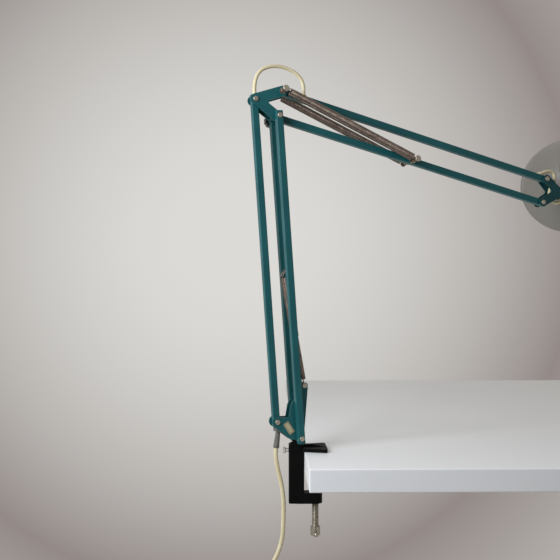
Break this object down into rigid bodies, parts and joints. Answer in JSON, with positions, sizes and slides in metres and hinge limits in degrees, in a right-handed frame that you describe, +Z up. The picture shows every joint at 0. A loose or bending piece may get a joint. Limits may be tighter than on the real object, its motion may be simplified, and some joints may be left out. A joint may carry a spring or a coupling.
{
  "type": "architect desk lamp",
  "caption": "Clamp-on architect desk lamp with sprung parallelogram arms of square tube and a bell shade that swivels and tilts.",
  "frame": {"origin": "middle of the upper jaw's underside, which rests on the table top", "axes": "+X along the jaw over the table, +Y across it, +Z up"},
  "size_m": [0.6442, 0.3032, 0.9302],
  "materials": {
    "teal_enamel": "gloss enamel",
    "dark_plate": "gloss enamel",
    "black_casting": "black enamel",
    "steel": "bright zinc",
    "spring_steel": "oiled",
    "grey_enamel": "satin enamel",
    "black_plastic": "moulded",
    "label_metal": "bare",
    "grey_rubber": "matte",
    "cream_pvc": "matte",
    "porcelain": "glazed",
    "bulb_glass": "frosted",
    "bulb_cap": "bright",
    "plug_pin": "bright"
  },
  "bodies": {
    "clamp": {"clamp_body": "black_casting"},
    "clamp_pad": {"clamp_pad": "steel"},
    "clamp_screw": {"clamp_screw": "black_casting", "tommy_bar": "steel"},
    "thumb_screw": {"thumb_screw": "steel"},
    "bracket": {"base_bracket": "dark_plate", "swivel_pin": "steel", "foot_studs": "steel", "lower_spring_foot_pin": "steel", "foot_washers": "steel", "label_plate": "label_metal", "cord_sleeve": "grey_rubber", "cord_clip": "black_plastic", "cord_drop": "cream_pvc", "cord_coil": "cream_pvc", "cord_tie": "black_plastic", "plug_body": "black_plastic", "plug_pins": "plug_pin"},
    "rear_bar": {"lower_rear_tube": "teal_enamel", "lower_cable": "cream_pvc"},
    "front_bars": {"lower_near_tube": "teal_enamel", "lower_far_tube": "teal_enamel", "lower_spring_top_pin": "steel"},
    "lower_springs": {"lower_springs": "spring_steel"},
    "lower_rods": {"lower_spring_rods": "spring_steel"},
    "elbow": {"elbow_plates": "dark_plate", "elbow_bolt": "steel", "elbow_studs": "steel", "elbow_washers": "steel", "elbow_cable": "cream_pvc"},
    "friction_knob": {"friction_knob": "black_plastic"},
    "top_bar": {"upper_top_tube": "teal_enamel", "cable_grommets": "grey_rubber", "upper_cable": "cream_pvc"},
    "bottom_bar": {"upper_bottom_tube": "teal_enamel", "upper_spring_bolt": "steel", "spring_bolt_sleeves": "steel"},
    "upper_springs": {"upper_springs_near": "spring_steel", "upper_springs_far": "spring_steel"},
    "upper_eyes": {"upper_spring_eyes": "spring_steel"},
    "fork": {"fork_plates": "dark_plate", "fork_studs": "steel", "fork_washers": "steel", "fork_block": "dark_plate", "fork_screws": "steel", "head_cable": "cream_pvc"},
    "head_swivel": {"swivel_stud": "steel", "tilt_knuckle": "steel", "tilt_bolt": "steel"},
    "wing_nut": {"wing_nut": "steel"},
    "head": {"holder_cup": "grey_enamel", "shade": "grey_enamel", "lamp_holder": "porcelain", "bulb_cap": "bulb_cap", "bulb_glass": "bulb_glass"},
    "switch": {"switch_button": "black_plastic"}
  },
  "joints": [
    {"name": "clamp_pad_travel", "type": "slide", "parent": "clamp", "child": "clamp_pad", "axis": [0, 0, 1], "range_m": [-0.018, 0.028]},
    {"name": "clamp_screw_turn", "type": "hinge", "parent": "clamp_pad", "child": "clamp_screw", "pos_m": [0, 0, -0.08], "axis": [0, 0, 1], "range_deg": [-3300, 5100]},
    {"name": "thumb_screw_turn", "type": "hinge", "parent": "clamp", "child": "thumb_screw", "pos_m": [-0.042, 0, -0.0005], "axis": [1, 0, 0], "range_deg": [-720, 0]},
    {"name": "base_swivel", "type": "hinge", "parent": "clamp", "child": "bracket", "pos_m": [-0.027, 0, 0.016], "axis": [0, 0, 1], "range_deg": [-90, 90]},
    {"name": "lower_arm", "type": "hinge", "parent": "bracket", "child": "rear_bar", "pos_m": [-0.05645, -0.00901, 0.0415], "axis": [-0.2924, 0.9563, 0], "range_deg": [-20, 35], "deforming": ["lower_springs", "lower_spring_rods", "elbow_cable"]},
    {"name": "lower_front_bars", "type": "hinge", "parent": "bracket", "child": "front_bars", "pos_m": [-0.02509, 0.00059, 0.018], "axis": [-0.2924, 0.9563, 0], "range_deg": [-21, 36]},
    {"name": "elbow_level", "type": "hinge", "parent": "rear_bar", "child": "elbow", "pos_m": [-0.08791, -0.01862, 0.50033], "axis": [-0.2924, 0.9563, 0], "range_deg": [-36, 21]},
    {"name": "lower_spring_swing", "type": "hinge", "parent": "front_bars", "child": "lower_springs", "pos_m": [-0.04143, -0.00441, 0.25639], "axis": [-0.2924, 0.9563, 0], "range_deg": [-9, 16]},
    {"name": "lower_rod_swing", "type": "hinge", "parent": "bracket", "child": "lower_rods", "pos_m": [-0.01744, 0.00292, 0.092], "axis": [-0.2924, 0.9563, 0], "range_deg": [-30, 51]},
    {"name": "friction_knob_turn", "type": "hinge", "parent": "elbow", "child": "friction_knob", "pos_m": [-0.06385, 0.01488, 0.47682], "axis": [-0.2924, 0.9563, 0], "continuous": true},
    {"name": "upper_arm", "type": "hinge", "parent": "elbow", "child": "top_bar", "pos_m": [-0.04927, -0.00681, 0.51453], "axis": [-0.2924, 0.9563, 0], "range_deg": [-35, 25], "deforming": ["upper_springs_near", "upper_springs_far", "upper_spring_eyes", "head_cable"]},
    {"name": "upper_bottom_bar", "type": "hinge", "parent": "elbow", "child": "bottom_bar", "pos_m": [-0.05654, -0.00903, 0.47682], "axis": [-0.2924, 0.9563, 0], "range_deg": [-36, 26]},
    {"name": "upper_spring_swing", "type": "hinge", "parent": "elbow", "child": "upper_springs", "pos_m": [-0.04927, -0.00681, 0.51453], "axis": [-0.2924, 0.9563, 0], "range_deg": [-36, 26]},
    {"name": "upper_spring_stretch", "type": "slide", "parent": "upper_springs", "child": "upper_eyes", "axis": [0.8796, 0.2689, -0.3925], "range_m": [-0.0235, 0.017]},
    {"name": "fork_level", "type": "hinge", "parent": "top_bar", "child": "fork", "pos_m": [0.37697, 0.12351, 0.40916], "axis": [-0.2924, 0.9563, 0], "range_deg": [-26, 36]},
    {"name": "head_swivel_turn", "type": "hinge", "parent": "fork", "child": "head_swivel", "pos_m": [0.42947, 0.13956, 0.38596], "axis": [0, 0, 1], "range_deg": [-150, 48]},
    {"name": "head_tilt", "type": "hinge", "parent": "head_swivel", "child": "head", "pos_m": [0.42947, 0.13956, 0.40606], "axis": [-0.9361, 0.3518, 0], "range_deg": [-40, 30]},
    {"name": "wing_nut_turn", "type": "hinge", "parent": "head_swivel", "child": "wing_nut", "pos_m": [0.42947, 0.13956, 0.40606], "axis": [-0.9361, 0.3518, 0], "continuous": true},
    {"name": "switch_press", "type": "slide", "parent": "head", "child": "switch", "axis": [0.3424, 0.911, -0.2301], "range_m": [0, 0.003], "stiffness_N_per_m": 250}
  ],
  "couplings": [
    {"joint": "clamp_screw_turn", "follows": "clamp_pad_travel", "rad_per_m": 3141.6},
    {"joint": "lower_front_bars", "follows": "lower_arm", "ratio": 1},
    {"joint": "elbow_level", "follows": "lower_arm", "ratio": -1},
    {"joint": "lower_spring_swing", "follows": "lower_arm", "ratio": 0.42},
    {"joint": "lower_rod_swing", "follows": "lower_arm", "ratio": 1.42},
    {"joint": "upper_bottom_bar", "follows": "upper_arm", "ratio": 1},
    {"joint": "upper_spring_swing", "follows": "upper_arm", "ratio": 0.98},
    {"joint": "upper_spring_stretch", "follows": "upper_arm", "m_per_rad": 0.037},
    {"joint": "fork_level", "follows": "upper_arm", "ratio": -1}
  ]
}
